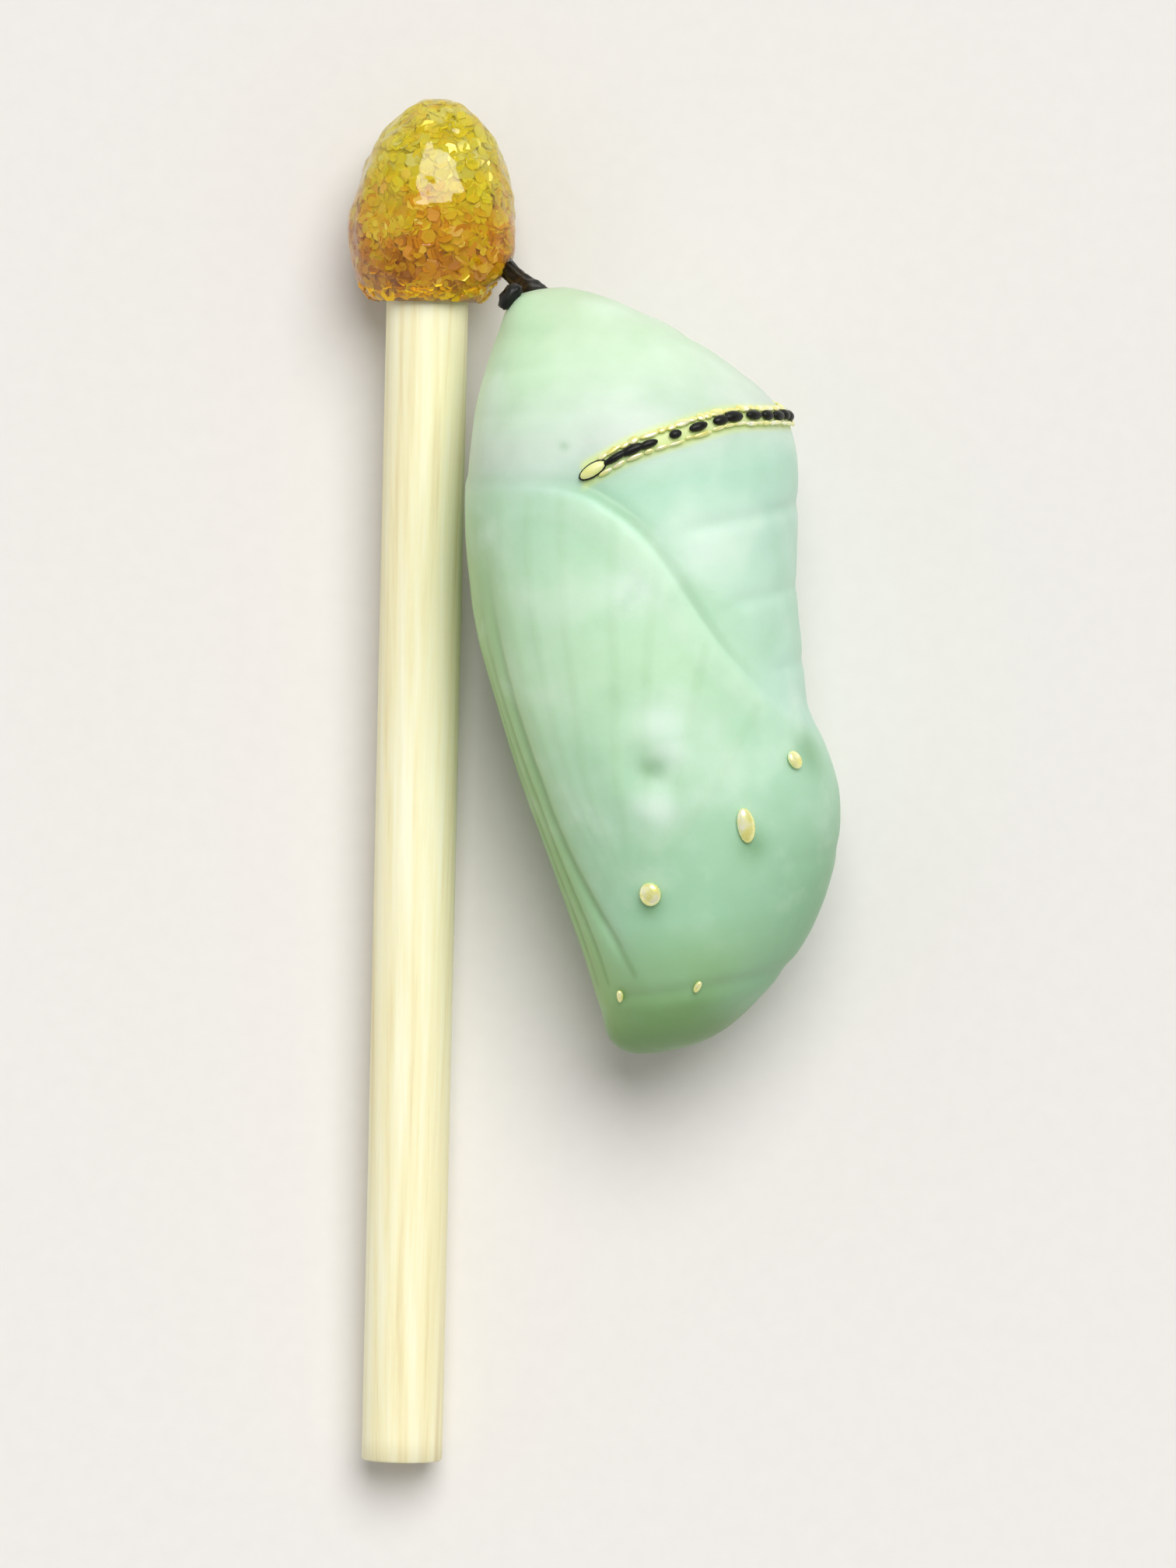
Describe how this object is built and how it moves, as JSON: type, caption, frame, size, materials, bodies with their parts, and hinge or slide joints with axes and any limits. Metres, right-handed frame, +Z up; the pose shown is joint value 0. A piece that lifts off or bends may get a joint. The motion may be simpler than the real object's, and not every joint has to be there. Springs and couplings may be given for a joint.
{
  "type": "monarch butterfly chrysalis on a stick",
  "caption": "Pale green butterfly pupa with a dark banded back, hanging by its short stalk from the glittered glue tip of a slim bamboo stick.",
  "frame": {"origin": "on the surface it lies on, under the middle of the part's bounding box", "axes": "+Z up from the surface; +Y along the stick, from its cut end towards the glue tip; +X from the stick towards the pupa's back"},
  "size_m": [0.0178, 0.048, 0.012],
  "materials": {
    "pupa_case": "waxy pale green skin with a soft gloss, metallic gold dots and a beaded black band",
    "glitter_glue": "amber glue full of gold glitter flakes",
    "bamboo": "pale bare bamboo with fine lengthwise fibres"
  },
  "bodies": {
    "root": {"chrysalis": "pupa_case", "glitter_glue": "glitter_glue", "skewer": "bamboo"}
  },
  "joints": []
}
